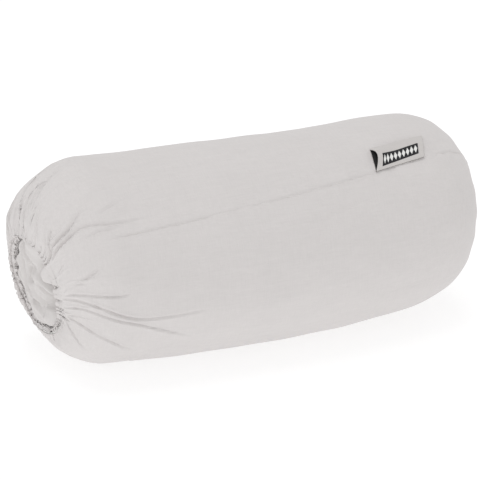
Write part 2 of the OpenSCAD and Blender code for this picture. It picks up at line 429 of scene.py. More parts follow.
# Creases that run out of the mouth: points of (x, angle, depth), the width, the lean and the ridge beside it
FOLDS = [
    ([(-222, 86, 0.5), (-209, 87.5, 1.4), (-191, 88, 2.0), (-167, 88.5, 2.0), (-158, 87, 0.4)],
     0.8, 1.5, 0.35),
    ([(-222, 89, 0.8), (-206, 92, 1.6), (-192, 94, 2.2), (-176, 97.5, 2.6), (-151, 103, 2.4),
      (-136, 103, 1.8), (-101, 102, 1.2), (-85, 101, 0.2)], 0.8, 2.0, 0.4),
    ([(-222, 97.5, 0.6), (-215, 97.5, 1.4), (-201, 97.5, 1.6), (-184, 100.5, 2.2), (-157, 104.5, 2.4),
      (-116, 114.5, 1.8), (-98, 119, 0.4)], 0.8, 1.5, 0.4),
    ([(-220, 107, 0.6), (-215, 108, 1.2), (-199, 112.5, 2.2), (-182, 116.5, 2.4), (-169, 119.5, 2.0),
      (-150, 128, 0.3)], 0.8, 1.7, 0.4),
    ([(-224, 111, 0.5), (-220, 116, 1.6), (-209, 123, 2.0), (-199, 130, 1.8), (-192, 132, 0.4)],
     0.7, 1.5, 0.4),
    ([(-220, 105, 0.5), (-210, 104, 1.4), (-202, 104, 1.2), (-194, 104, 0.2)], 0.7, 1.4, 0.3),
    ([(-206, 78.5, 0.4), (-197, 77.5, 1.8), (-189, 74.5, 2.0), (-183, 72, 0.3)], 1.0, 2.0, 0.5),
    ([(-208, 80.5, 0.3), (-203, 80, 1.4), (-198, 80.5, 0.3)], 0.7, 1.2, 0.2),
    ([(-224, 50, 1.5), (-218, 47, 2.4), (-213, 47.5, 2.2), (-205, 46.5, 2.0), (-197, 43, 1.8),
      (-192, 38.5, 1.4), (-183, 37.5, 0.3)], 0.9, 1.8, 0.5),
    ([(-221, 52, 1.2), (-213, 51.5, 2.4), (-205, 50.5, 2.2), (-196, 47, 1.4), (-185, 47, 1.6),
      (-166, 49.5, 1.4), (-148, 48.5, 1.0), (-130, 47, 0.2)], 0.9, 2.0, 0.5),
    ([(-196, 54, 0.4), (-185, 52.5, 1.2), (-177, 51.5, 1.2), (-155, 52.5, 0.3)], 0.9, 1.7, 0.4),
    ([(-178, 43.5, 0.3), (-170, 41, 1.2), (-161, 38.5, 1.2), (-150, 35.5, 0.2)], 1.3, 1.5, 0.4),
    ([(-150, 58, 0.2), (-143, 57, 0.8), (-133, 56, 0.8), (-120, 54.5, 0.2)], 1.0, 1.5, 0.3),
    ([(-225, 49, 3.0), (-220, 45, 4.5), (-217, 40.5, 3.0), (-213, 36, 0.5)], 1.0, 1.2, 0.3),
    ([(-224, 41, 0.8), (-221, 37, 1.4), (-216, 31.5, 0.4)], 0.8, 1.4, 0.3),
    ([(-223, 28, 0.8), (-219, 21, 1.2), (-212, 16, 0.2)], 0.8, 1.4, 0.3),
    ([(-218, 7, 0.3), (-214, 5, 1.4), (-207, 0.5, 1.6), (-197, -2, 1.4), (-184, -8, 0.3)], 0.9, 1.5, 0.4),
    ([(-222, 1, 0.5), (-213, -1.5, 1.6), (-205, -3, 1.2), (-196, -4, 0.2)], 0.9, 1.5, 0.4),
    ([(-225, -5, 0.5), (-221, -7, 1.8), (-215, -7.5, 1.8), (-205, -6, 0.3)], 0.9, 1.4, 0.4),
    ([(-222, -13, 1.0), (-220, -15, 4.0), (-216, -17.5, 4.5), (-209, -20, 0.5)], 1.2, 1.2, 0.3),
]
# Soft hollows further along: points, width, lean and ridge
HOLLOWS = [
    ([(-75, 59, 0.1), (-63, 59, 0.9), (-26, 57.5, 1.0), (13, 62, 1.1), (55, 62, 1.0), (94, 63, 1.1),
      (156, 69, 1.2), (180, 67, 0.1)], 7.0, 1.5, 0.15),
    ([(168, 33, 1.0), (172, 30, 2.2), (177, 27, 0.8)], 6.0, 1.2, 0.2),
    ([(150, 47, 0.2), (157, 41.5, 1.6), (161, 36, 0.3)], 4.5, 1.3, 0.2),
    ([(198, 34, 0.2), (202, 29.5, 1.5), (206, 24, 0.2)], 4.0, 1.2, 0.2),
]
# How far the drawn cloth bulges over the ring into the mouth: (angle, reach, half width)
LOBES = [(12, 8, 30), (60, 19, 13), (86, 3, 8), (-105, 6, 84)]
LOBE_SMOOTHNESS = 14.0
LOBE_LIFT = 0.3
# Where the stitches draw deep pits into the rolled edge of the mouth, in degrees, and how deep they are
SCALLOPS = [-171, -160, -151, -140, -124, -111, -99, -87, -76, -67, -58, -49, -40, -28,
            92, 101, 137, 151, 162, 174]
SCALLOP_WIDTH = 2.3
SCALLOP_DEPTH = 3.8
# The far shoulder is puffed out round a place given as (x, radius, angle)
SHOULDER = (-217.0, 70.0, -46.0)
SHOULDER_PUFF = 1.5
SHOULDER_WIDTH = 24.0


def column_angles():
    """Angles of the cover's columns in degrees, closer together at the front."""
    even = np.arange(COLUMNS) * 2 * np.pi / COLUMNS
    return np.degrees(even - FRONT_SHARE * np.sin(even - np.radians(FRONT)))


def ideal_places(grid):
    """The nearest places on the smooth cover, for a grid of drawn cloth."""
    x, y, z = np.moveaxis(grid, -1, 0)
    r = np.hypot(y, z)
    spread = np.clip((r - MOUTH_R) / (RADIUS - MOUTH_R), 0, 1) ** (GATHER_SQUARENESS / 2)
    share = np.clip((GATHER_X - x) / GATHER_DEPTH, 0, 1) ** (GATHER_SQUARENESS / 2)
    across, _ = dome(np.arctan2(spread, share), GATHER_SQUARENESS)
    smooth_x = np.where(x > GATHER_X, x, -HALF + GATHER_DEPTH * across)
    return on_axis(smooth_x, cover_radius(smooth_x), np.degrees(np.arctan2(-y, z)))


def lobe_reach(degrees):
    """How far the cloth bulges into the mouth at an angle."""
    reach = 0
    for middle, size, width in LOBES:
        away = (degrees - middle + 180) % 360 - 180
        reach = reach + size * np.exp(-(away / width) ** 6)
    return reach


def scallops(degrees, width):
    """0 between the pits in the rolled edge and 1 at each of them."""
    away = (degrees[:, None] - np.array(SCALLOPS) + 180) % 360 - 180
    return np.exp(-(away / width) ** 2).max(axis=1)


def hem_rows(lip):
    """Rows of cloth from the drawn lip into the mouth, to the line of stitches and a little past it."""
    degrees = np.degrees(np.arctan2(-lip[:, 1], lip[:, 2]))
    reach = lobe_reach(degrees)
    pits, puffs = scallops(degrees, SCALLOP_WIDTH), 1 - scallops(degrees, 2.2 * SCALLOP_WIDTH)
    lip_r = np.hypot(lip[:, 1], lip[:, 2])
    rows = []
    for step in np.linspace(0, 1, HEM_ROWS + 1)[1:]:
        t = step * HEM_REACH
        rolled = np.sin(np.pi * min(1, t / STITCH_REACH))
        bulge = reach * np.sin(np.pi * min(1, step * 1.02)) ** 0.7
        near_stitches = np.exp(-((t - STITCH_REACH) / 1.8) ** 2) * (1 - np.abs(reach) / 40)
        wrinkles = 0.8 * ripple(on_axis(t, MOUTH_R, degrees), 5.5, 21) * rolled
        r = MOUTH_R - 0.5 + (lip_r - MOUTH_R + 0.5) * np.exp(-(t / 3) ** 2) - bulge - 1.2 * puffs * rolled
        r = r + wrinkles + SCALLOP_DEPTH * pits * near_stitches
        x = lip[:, 0] + t * (1 - 0.2 * reach / 36) - LOBE_LIFT * bulge
        rows.append(on_axis(x, r, degrees))
    return np.array(rows)


def along_cover(start_x):
    """(x, radius) of the cover's rows from start_x to near the pole of the closed end."""
    shoulder = HALF - CLOSED_DEPTH
    count = int((shoulder - start_x) / ROW_SPACING)
    tube_x = np.linspace(start_x, shoulder, count, endpoint=False)
    across, spread = dome(np.linspace(np.pi / 2, 0, 400), CLOSED_SQUARENESS)
    line = np.stack([HALF - CLOSED_DEPTH * across, RADIUS * spread], 1)
    length = np.concatenate([[0], np.cumsum(np.linalg.norm(np.diff(line, axis=0), axis=1))])
    places = np.linspace(0, length[-1] - ROW_SPACING, int(length[-1] / ROW_SPACING))
    end = np.stack([np.interp(places, length, line[:, k]) for k in (0, 1)], 1)
    return np.concatenate([np.stack([tube_x, np.full(count, RADIUS)], 1), end])


def averaged(grid, reach):
    """Each place of a grid averaged twice with its neighbours in the row, up to reach columns away."""
    for _ in range(2):
        grid = sum(np.roll(grid, k, axis=1) for k in range(-reach, reach + 1)) / (2 * reach + 1)
    return grid


def cover_outside():
    """The cover's outside from inside the mouth over the lip to the closed end, as straight points, with the
    numbers of rows in the hem, and in the hem and the gathers together."""
    degrees = column_angles()
    places = np.radians(degrees) % (2 * np.pi) * SIM_COLUMNS / (2 * np.pi)
    rows = spline(gathered, np.linspace(0, SIM_ROWS - 1, GATHER_ROWS), closed=False)
    drawn = np.swapaxes(spline(np.swapaxes(rows, 0, 1), places, closed=True), 0, 1)
    away = np.abs((degrees - CALM_MIDDLE + 180) % 360 - 180)
    kept = smooth_step(away, CALM_HALF - CALM_BLEND, CALM_HALF + CALM_BLEND)
    height = CALM_HEIGHT + (GATHER_HEIGHT - CALM_HEIGHT) * kept
    near_lip = smooth_step(np.arange(GATHER_ROWS), GATHER_ROWS - 22, GATHER_ROWS - 4)[:, None]
    height = height * (1 - LIP_CALM * near_lip)
    smooth = smooth_step(drawn[..., :1], SMOOTH_START_X, SMOOTH_END_X)
    drawn = drawn + (ideal_places(drawn) - drawn) * smooth
    broad = averaged(drawn, GATHER_WINDOW)
    drawn = broad + (drawn - broad) * height[..., None]
    hem = hem_rows(drawn[-1])
    rest = along_cover(drawn[0, 0, 0] + ROW_SPACING / 2)
    tube = on_axis(rest[:, :1], rest[:, 1:], degrees[None, :])
    return np.concatenate([hem[::-1], drawn[::-1], tube]), len(hem), len(hem) + len(drawn)


SEAM_GROOVE_DEPTH = 1.1
SEAM_GROOVE_WIDTH = 1.1


def seam_groove(places):
    """Displacement along the side seam: a narrow groove, the turned-in cloth beside it, and small puckers."""
    x = places[..., 0]
    degrees = np.degrees(np.arctan2(-places[..., 1], places[..., 2]))
    away = (degrees - seam_at(x) + 180) % 360 - 180
    distance = np.radians(away) * np.hypot(places[..., 1], places[..., 2])
    present = smooth_step(x, -190, -150) * (1 - smooth_step(x, SIDE_SEAM_END_X - 6, SIDE_SEAM_END_X + 10))
    groove = -SEAM_GROOVE_DEPTH * np.exp(-(distance / SEAM_GROOVE_WIDTH) ** 2)
    turned_in = 0.5 * smooth_step(-distance, -1, 1) * (1 - smooth_step(-distance, 7, 11))
    puckers = 0.35 * np.exp(-(distance / 9) ** 2) * ripple(places * (1, 0.15, 0.15), 11, 31)
    return present * (groove + turned_in + puckers)


def end_seam_groove(places):
    """Displacement along the seam straight across the closed end."""
    turn = np.radians(END_SEAM_ANGLE)
    across = places[..., 1] * np.cos(turn) + places[..., 2] * np.sin(turn)
    along = np.abs(places[..., 2] * np.cos(turn) - places[..., 1] * np.sin(turn))
    present = smooth_step(places[..., 0], 200, 210) * (1 - smooth_step(along, END_SEAM_R - 4, END_SEAM_R + 4))
    beside = 0.5 * np.exp(-((np.abs(across) - 3.5) / 2) ** 2)
    return present * (beside - SEAM_GROOVE_DEPTH * np.exp(-(across / 1.2) ** 2))


def broad_relief(places):
    """Gentle unevenness of the filled cover."""
    return 0.7 * ripple(places * (0.45, 1, 1), 75, 11)


def cover_relief(ideal, out):
    """How far the cover's cloth stands out of its smooth shape, in millimetres, along its normals."""
    relief = np.zeros(ideal.shape[:-1])
    for line, width, lean, ridge in FOLDS + HOLLOWS:
        relief -= crease(ideal, out, line, width, lean, ridge)
    relief += seam_groove(ideal)
    away = np.linalg.norm(ideal - on_axis(*SHOULDER), axis=-1)
    relief += SHOULDER_PUFF * np.exp(-(away / SHOULDER_WIDTH) ** 2)
    return relief + end_seam_groove(ideal) + broad_relief(ideal) + 0.25 * ripple(ideal * (0.5, 1, 1), 26, 12)


# Valleys across the rolled edge: how many rows they reach past it, and how deep they are
RIM_ROWS = 16
RIM_DEPTH = 3.3


def rim_valleys(places, hem_count):
    """Sharp valleys across the rolled edge of the mouth, between small puffs of uneven size and depth."""
    turn = np.arctan2(-places[..., 1], places[..., 2])
    row = np.arange(len(places))[:, None]
    phase = pleat_phase(turn) + 1.4 * np.sin(17 * turn + 0.5)
    phase = phase + 0.8 * np.sin(6 * turn + 0.12 * (row - hem_count))
    uneven = 0.35 + 0.65 * np.sin(7 * turn + 2 * np.sin(4 * turn)) ** 2
    valley = (1 - np.abs(np.sin(phase / 2))) ** 2 * uneven
    on_rim = smooth_step(row, 2, 8) * (1 - smooth_step(row, hem_count + RIM_ROWS - 6, hem_count + RIM_ROWS))
    return valley * on_rim * np.exp(-(lobe_reach(np.degrees(turn)) / LOBE_SMOOTHNESS) ** 4)


outside, hem_count, drawn_count = cover_outside()
ideal = ideal_places(outside)
ideal[drawn_count:] = outside[drawn_count:]
out = normals(outside)
relief = cover_relief(ideal, out)
relief[:hem_count] = 0
relief -= RIM_DEPTH * rim_valleys(ideal, hem_count)
outside = outside + out * relief[..., None]

INNER_INSET = 5.5
INNER_GATHER_ROWS = 14
INNER_TUBE_ROWS = 30
INNER_END_ROWS = 22
# How far the back of the hem and lip lies behind its face
LIP_CLOTH = 0.8


def inner_wall_profile(inset_gathers, inset_tube, steps_gathers, steps_tube, steps_end):
    """(x, radius) along the inside of the cover, further in behind the gathers than along the plain tube."""
    across, spread = dome(np.linspace(0.35, np.pi / 2, steps_gathers), GATHER_SQUARENESS)
    gather = np.stack([-HALF + inset_gathers + (GATHER_DEPTH - inset_gathers) * across,
                       MOUTH_R + (RADIUS - inset_gathers - MOUTH_R) * spread], 1)
    tube_x = np.linspace(GATHER_X, HALF - CLOSED_DEPTH, steps_tube)[1:]
    inset = inset_gathers + (inset_tube - inset_gathers) * smooth_step(tube_x, -110, -70)
    tube = np.stack([tube_x, RADIUS - inset], 1)
    across, spread = dome(np.linspace(np.pi / 2, 0.05, steps_end), CLOSED_SQUARENESS)
    end = np.stack([HALF - inset_tube - (CLOSED_DEPTH - inset_tube) * across,
                    (RADIUS - inset_tube) * spread], 1)[1:]
    return np.concatenate([gather, tube, end])


def build_cover(material):
    """The cover: one closed mesh of cloth with an outside, a lip rolled into the mouth, and an inside."""
    cover = Cloth()
    shown = settled(outside)
    rings = cover.grid(shown)
    cover.cap(rings[-1], shown[-1].mean(axis=0) + (0.2, 0, 0))
    outward = normals(shown)
    backed = [0, hem_count // 2, hem_count - 2, hem_count + 6, hem_count + 16]
    back = cover.grid((shown[backed] - LIP_CLOTH * outward[backed])[::-1])
    cover.bridge(back[-1], rings[0])
    profile = inner_wall_profile(INNER_INSET, CLOTH, INNER_GATHER_ROWS, INNER_TUBE_ROWS, INNER_END_ROWS)
    degrees = column_angles()[:: COLUMNS // INNER_COLUMNS]
    inside = settled(on_axis(profile[::-1, :1], profile[::-1, 1:], degrees[None, :]), floor=CLOTH)
    walls = cover.grid(inside)
    cover.cap(walls[0], inside[0].mean(axis=0), at_start=True)
    step = COLUMNS // INNER_COLUMNS
    for j in range(INNER_COLUMNS):
        this, after = walls[-1][j], walls[-1][(j + 1) % INNER_COLUMNS]
        for k in range(step):
            cover.face((this, back[0][(j * step + k + 1) % COLUMNS], back[0][j * step + k]))
        cover.face((this, after, back[0][((j + 1) * step) % COLUMNS]))
    piece = cover.piece("cover", [material], "cover", "cover_cloth")
    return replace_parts(piece, "cover_cloth", "gathered_end")


# ---------- hem, elastic and threads
HEM_COLUMNS = 288
HEM_CLOTH = 0.7
HEM_R = 46.9
HEM_EDGE_X = -209.0
HEM_STITCH_X = -217.5
CARE_LABEL_THICKNESS = 0.3
# Section of the channel's back, round the elastic, as (x, radius)
CHANNEL = [(-218.0, 49.0), (-216.5, 51.0), (-216.3, 54.0), (-218, 54.4), (-222, 54.5), (-226, 54.4)]
ELASTIC_R = 52.6
ELASTIC_X = (-225.5, -217.5)
ELASTIC_THICKNESS = 1.2
RIB_COUNT = 96
RIB_HEIGHT = 0.12
THREAD_R = 0.28
LINER_THREAD_R = 0.2
STITCH_PITCH = 3.2


def band(name, section, thickness, material, slot, wave):
    """A closed band of cloth round the mouth, from the (x, radius) line of its section and its thickness.
    wave turns the section into its grid of points."""
    line = np.asarray(section, float)
    along = np.gradient(line, axis=0)
    side = np.stack([-along[:, 1], along[:, 0]], 1) / np.linalg.norm(along, axis=1, keepdims=True)
    loop = np.concatenate([line + side * thickness / 2, (line - side * thickness / 2)[::-1]])
    degrees = np.arange(HEM_COLUMNS) * 360 / HEM_COLUMNS
    cloth = Cloth()
    rings = cloth.grid(settled(wave(loop, degrees)))
    cloth.bridge(rings[-1], rings[0])
    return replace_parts(cloth.piece(name, [material], "cover", slot), name)


def hem_wave(loop, degrees):
    """Ruffles of the hem's free edge, which the elastic draws together."""
    turn = np.radians(degrees)
    pleat = np.sin(pleat_phase(turn))
    free = smooth_step(loop[:, 0], -216, -209)[:, None] * (loop[:, 1] < 50)[:, None]
    near_line = np.exp(-((loop[:, 0] - HEM_STITCH_X) / 3) ** 2)[:, None] * (loop[:, 1] < 50)[:, None]
    r = loop[:, 1:] + 0.9 * near_line * pleat + free * (0.8 * np.sin(14 * turn + 1) + 0.6 * np.sin(31 * turn))
    x = loop[:, :1] + free * (1.2 * np.sin(9 * turn + 2) + 0.7 * np.sin(23 * turn))
    return on_axis(x, r, degrees)


def build_hem(material):
    """The turned-in hem past its line of stitches, and the back of the channel that holds the elastic."""
    visible = [(x, HEM_R) for x in np.linspace(HEM_EDGE_X, HEM_STITCH_X, 8)]
    return band("hem_casing", visible + CHANNEL, HEM_CLOTH, material, "cover_cloth", hem_wave)


def elastic_wave(loop, degrees):
    """Small ribs across the elastic."""
    rib = RIB_HEIGHT * np.sin(np.radians(degrees) * RIB_COUNT)[None, :]
    return on_axis(loop[:, :1], loop[:, 1:] + rib, degrees)


def build_elastic(material):
    """Flat elastic in its channel."""
    line = [(x, ELASTIC_R) for x in np.linspace(*ELASTIC_X, 5)]
    return band("elastic_band", line, ELASTIC_THICKNESS, material, "elastic", elastic_wave)


THREAD_SIDES = 6


def tube_along(cloth, points, radius):
    """Adds a round thread through settled points, with pointed ends."""
    points = np.asarray(points, float)
    along = np.gradient(points, axis=0)
    along /= np.linalg.norm(along, axis=1, keepdims=True)
    helper = np.array([0.3, 0.2, 1.0])
    across = np.cross(along, helper)
    across /= np.linalg.norm(across, axis=1, keepdims=True)
    up = np.cross(across, along)
    turn = np.arange(THREAD_SIDES) * 2 * np.pi / THREAD_SIDES
    ring = np.cos(turn)[None, :, None] * across[:, None] + np.sin(turn)[None, :, None] * up[:, None]
    rings = cloth.grid(points[:, None] + radius * ring)
    cloth.cap(rings[-1], points[-1] + along[-1] * radius)
    cloth.cap(rings[0], points[0] - along[0] * radius, at_start=True)


def stitch_line(cloth, points, radius, share=0.8):
    """Adds one stitch between each pair of places, arched a little in the middle."""
    points = np.asarray(points, float)
    steps = np.linspace(0, share, 5)[:, None]
    for start, end in zip(points[:-1], points[1:]):
        cloth_side = np.sin(np.pi * steps / share) * radius * 0.6
        tube_along(cloth, start + (end - start) * steps + cloth_side * (0, -0.4, 0.9), radius)


def on_relief(ideal_line, sink):
    """Settled places on the cover's relief along a line of ideal places, sunk into the cloth a little."""
    radial = ideal_line * (0, 1, 1)
    radial /= np.maximum(np.linalg.norm(radial, axis=-1, keepdims=True), 1e-9)
    height = cover_relief(ideal_line, radial)
    return settled(ideal_line + radial * (height - sink)[:, None])


def thread_piece(name, cloth, material, body="cover", slot="cover_thread"):
    """The finished thread, in place of the CAD's thread of the same name."""
    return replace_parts(cloth.piece(name, [material], body, slot), name)


def build_side_seam(material):
    """Stitches that show at the bottom of the side seam's groove, on both sides of the label."""
    x = np.arange(GATHER_X + 4, SIDE_SEAM_END_X, STITCH_PITCH)
    cloth = Cloth()
    for run in (x < LABEL_X - LABEL_LENGTH / 2, x > LABEL_X + LABEL_LENGTH / 2):
        line = on_axis(x[run], cover_radius(x[run]), seam_at(x[run]))
        stitch_line(cloth, on_relief(line, 0.1), THREAD_R)
    return thread_piece("side_seam_thread", cloth, material)


def build_end_seam(material):
    """Stitches of the seam straight across the closed end."""
    reach = np.arange(END_SEAM_R, -END_SEAM_R, -STITCH_PITCH)
    spread = (1 - (np.abs(reach) / RADIUS) ** CLOSED_SQUARENESS) ** (1 / CLOSED_SQUARENESS)
    ideal_line = on_axis(HALF - CLOSED_DEPTH * (1 - spread), reach, END_SEAM_ANGLE)
    cloth = Cloth()
    stitch_line(cloth, settled(ideal_line - (0.9, 0, 0)), THREAD_R)
    return thread_piece("end_seam_thread", cloth, material)


def build_hem_stitches(material):
    """Stitches round the mouth that close the hem over the elastic."""
    row = outside[max(0, hem_count - 1 - int(STITCH_REACH / HEM_REACH * HEM_ROWS))]
    inward = row * (0, 1, 1)
    inward /= np.linalg.norm(inward, axis=1, keepdims=True)
    places = settled(row - 0.15 * inward)[::4]
    cloth = Cloth()
    stitch_line(cloth, np.concatenate([places, places[:1]]), THREAD_R)
    return thread_piece("hem_stitches", cloth, material)


def build_care_label(material):
    """Blank care label caught in the side seam, lying against the inside of the cover."""
    length, height = CARE_LABEL_CUT[0] / MM, CARE_LABEL_CUT[1] / MM
    u, v = np.linspace(0, length, 16)[None, :], np.linspace(0, height, 12)[:, None]
    x = GATHER_X + 8 + u
    degrees = seam_at(x) - np.degrees(v / RADIUS)
    curl = 0.4 * np.sin(np.pi * u / length) * (v / height) ** 2
    r = RADIUS - INNER_INSET - 0.4 - curl
    face, back = on_axis(x, r, degrees), on_axis(x, r - CARE_LABEL_THICKNESS, degrees)
    cloth = Cloth()
    sheet_between(cloth, settled(face, CLOTH), settled(back, CLOTH))
    label = cloth.piece("care_label", [material], "cover", "care_label")
    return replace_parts(label, "care_label")


def edge_of(rows):
    """Indices round the edge of a grid."""
    return rows[0] + [row[-1] for row in rows[1:-1]] + rows[-1][::-1] + [row[0] for row in rows[-2:0:-1]]


def sheet_between(cloth, face, back, back_part=0):
    """Adds a thin sheet between two grids of the same size, closed round its edge."""
    front = cloth.grid(face, closed=False)
    rear = [row[::-1] for row in cloth.grid(back[:, ::-1], back_part, closed=False)]
    cloth.bridge(edge_of(rear), edge_of(front))


# ---------- woven label
LABEL_X = 128.0
LABEL_LENGTH = 56.0
LABEL_HEIGHT = 25.0
TAPE = 0.5
LABEL_GAP = 0.4
# How far the label's left and right ends lean along the bolster for each millimetre up
LABEL_LEAN = (0.12, 0.3)
# How far the front layer's open end slips along the seam where it bows out
FRONT_SLIP = 3.6
FIELD_SIZE = (43.0, 11.6)
FIELD_MIDDLE = 9.9
FIELD_TILT = 0.055
MOTIF_COUNT = 9
MOTIF_SIZE = (4.0, 8.4)
MOTIF_PITCH = 4.6
# Thickness of the field and the motif, and how far they start above the tape
PATCH_THICKNESS = 0.12
FIELD_RAISE = -0.02
MOTIF_RAISE = 0.1


def label_place(u, v, n):
    """Settled place on the label: u along the seam, v up from it, n out from the cover."""
    u, v, n = np.broadcast_arrays(u, v, n)
    right = np.clip(u / LABEL_LENGTH + 0.5, 0, 1)
    x = LABEL_X + u + v * (LABEL_LEAN[0] + (LABEL_LEAN[1] - LABEL_LEAN[0]) * right)
    degrees = seam_at(LABEL_X + u) - np.degrees(v / RADIUS)
    under = on_axis(x, cover_radius(x), degrees)
    return settled(on_axis(x, cover_radius(x) + broad_relief(under) + LABEL_GAP + n, degrees))


def label_front(u, v):
    """Height of the label's front layer over the cover; its left end bows away from the back layer."""
    open_end = smooth_step(-u, -2, 30)
    lift = 0.3 + (0.5 + 0.9 * smooth_step(u, -10, 28)) * v / LABEL_HEIGHT
    bow = np.sin(np.pi * np.clip(v / LABEL_HEIGHT, 0, 1) ** 1.45) ** 1.15
    return lift + TAPE + 0.1 + (0.7 + 4.2 * open_end) * bow


def label_back(u, v):
    """Height of the label's back layer over the cover."""
    return 0.1 + (0.6 + 0.9 * smooth_step(u, -10, 28)) * v / LABEL_HEIGHT


def front_slip(u, v):
    """How far the front layer slips along the seam at a place."""
    return FRONT_SLIP * smooth_step(-u, 10, 28) * np.sin(np.pi * v / LABEL_HEIGHT)


def build_label(tape, inside):
    """Folded loop of tape: its back layer, the bend at its top, and its front layer."""
    u = np.linspace(-LABEL_LENGTH / 2, LABEL_LENGTH / 2, 57)[None, :]
    up = np.linspace(0, LABEL_HEIGHT, 27)[:, None]
    middle = (label_back(u, LABEL_HEIGHT) + label_front(u, LABEL_HEIGHT)) / 2
    half = (label_front(u, LABEL_HEIGHT) - label_back(u, LABEL_HEIGHT)) / 2
    back = [(u, v, label_back(u, v)) for v in up]
    bend = [(u, LABEL_HEIGHT + 0.7 * np.sin(turn), middle - half * np.cos(turn))
            for turn in np.linspace(0, np.pi, 8)[1:-1]]
    front = [(u + front_slip(u, v), v, label_front(u, v)) for v in up[::-1]]
    grid = np.concatenate([label_place(*row) for row in back + bend + front]).reshape(-1, u.size, 3)
    out_of_loop = np.cross(np.gradient(grid, axis=0), np.gradient(grid, axis=1))
    out_of_loop *= TAPE / 2 / np.linalg.norm(out_of_loop, axis=-1, keepdims=True)
    cloth = Cloth()
    # The rear faces, on the inner side of the loop, get the near-black painted shade of the narrow loop.
    sheet_between(cloth, (grid + out_of_loop)[::-1], (grid - out_of_loop)[::-1], back_part=1)
    label = cloth.piece("woven_label", [tape, inside], "label", "label_tape")
    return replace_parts(label, "woven_label")


def add_patch(cloth, u, v, height):
    """Adds a patch woven into the label's front, at a height over it."""
    v = v + FIELD_TILT * u
    low = label_front(u, v) + TAPE / 2 + height
    u = u + front_slip(u, v)
    sheet_between(cloth, label_place(u, v, low + PATCH_THICKNESS), label_place(u, v, low))


def build_label_field(material):
    """The black field on the label."""
    u = FIELD_SIZE[0] / 2 * np.linspace(-1, 1, 45)[None, :]
    v = FIELD_MIDDLE + FIELD_SIZE[1] / 2 * np.linspace(-1, 1, 17)[:, None]
    cloth = Cloth()
    add_patch(cloth, *np.broadcast_arrays(u, v), FIELD_RAISE)
    cloth.piece("label_field", [material], "label", "label_tape")


def build_label_motif(material):
    """A row of small plain diamonds on the field."""
    s, t = np.meshgrid(np.linspace(-0.5, 0.5, 5), np.linspace(-0.5, 0.5, 5))
    cloth = Cloth()
    for place in np.arange(MOTIF_COUNT) - (MOTIF_COUNT - 1) / 2:
        u = place * MOTIF_PITCH + (s + t) * MOTIF_SIZE[0] / 2
        v = FIELD_MIDDLE + (t - s) * MOTIF_SIZE[1] / 2
        add_patch(cloth, u, v, MOTIF_RAISE)
    cloth.piece("label_motif", [material], "label", "label_tape")


# ---------- inner pillow
LINER_COLUMNS = 180
LINER_INSET = 2.7
LINER_GATHER_INSET = 7.0
LINER_MOUTH_SEAM_X = -191.0
LINER_CLOSED_SEAM_X = 205.0
LINER_SEAM_ANGLE = SEAM_ANGLE + 180
LINER_SEAM_WIDTH = 2.2
CLOSING_LENGTH = 110.0
# How far the liner and the filling lie above the floor
LINER_FLOOR = 1.9
FIBRE_FLOOR = 3.5
# Nose of the inner pillow that bulges into the mouth, as (x, radius)
NOSE = [(-227.0, 0.5), (-227.0, 10), (-227.0, 20), (-227.0, 30), (-226.9, 36), (-226.5, 40.5),
        (-225.4, 44), (-223.2, 45.8), (-219.0, 45.9), (-212, 45.9), (-206, 46), (-201.5, 49), (-203.5, 56)]
NOSE_START_X = -215
NOSE_FACE_X = -227.5
NOSE_CREASE_WIDTH = 1.3
NOSE_CREASE_DEPTH = 1.3
# The nose is narrower at the far side, where the drawn cloth presses on it: share, middle angle, half width
NOSE_SQUEEZE = (0.12, 255, 84)
# It sags out at the bottom: reach, middle angle, half width
NOSE_SAG = (2.2, 160, 48)
# Creases of the nose: points of (radius, angle, depth), the width, the lean and the ridge beside it
NOSE_CREASES = [
    ([(44, -28, 1.7), (26, -44, 4.1), (19, -72, 3.7), (18, -109, 4.4), (19, -148, 5.8), (24, -175, 5.1),
      (33, -200, 2.5)], 1.8, 1.6, 0.3),
    ([(44, -24, 1.7), (31, -21, 4.1), (24, -15, 4.1), (18, -5, 3.4), (10, 10, 1.0)], 1.6, 1.6, 0.3),
    ([(5, 60, 1.0), (8, 101, 3.1), (21, 112, 3.4), (43, 93, 1.7)], 1.4, 1.8, 0.35),
    ([(10, 190, 1.4), (20, 157, 3.4), (30, 123, 3.7), (42, 106, 2.0)], 1.5, 1.6, 0.3),
    ([(26, 78, 1.4), (33, 92, 2.4), (43, 86, 1.0)], 1.1, 1.6, 0.3),
    ([(41, 36, 2.0), (31, 37, 5.0), (21, 42, 9.0), (19, 52, 12.0), (25, 68, 13.0), (33, 76, 13.0),
      (42, 80, 12.0)], 3.3, 1.0, 0.0),
    ([(15, -22, 3.4), (10, -40, 7.7), (6, -75, 4.4)], 2.1, 1.2, 0.2),
    ([(17, -140, 2.5), (20, -149, 6.6), (25, -152, 2.5)], 2.1, 1.3, 0.2),
    ([(22, 170, 2.5), (24, 160, 6.1), (30, 155, 1.7)], 2.0, 1.3, 0.2),
    ([(36, -50, 1.0), (33, -90, 2.0), (34, -115, 1.4), (36, -140, 2.5), (40, -160, 1.0)], 1.4, 1.6, 0.3),
    ([(45, 107, 15.0), (38, 111, 15.0), (31, 116, 15.0), (26, 120, 13.0)], 4.4, 1.0, 0.0),
]


def swelling(degrees, size, middle, half):
    """A size that holds within half of a middle angle, and falls away past it."""
    return size * np.exp(-((degrees - middle) / half) ** 4)[None, :]


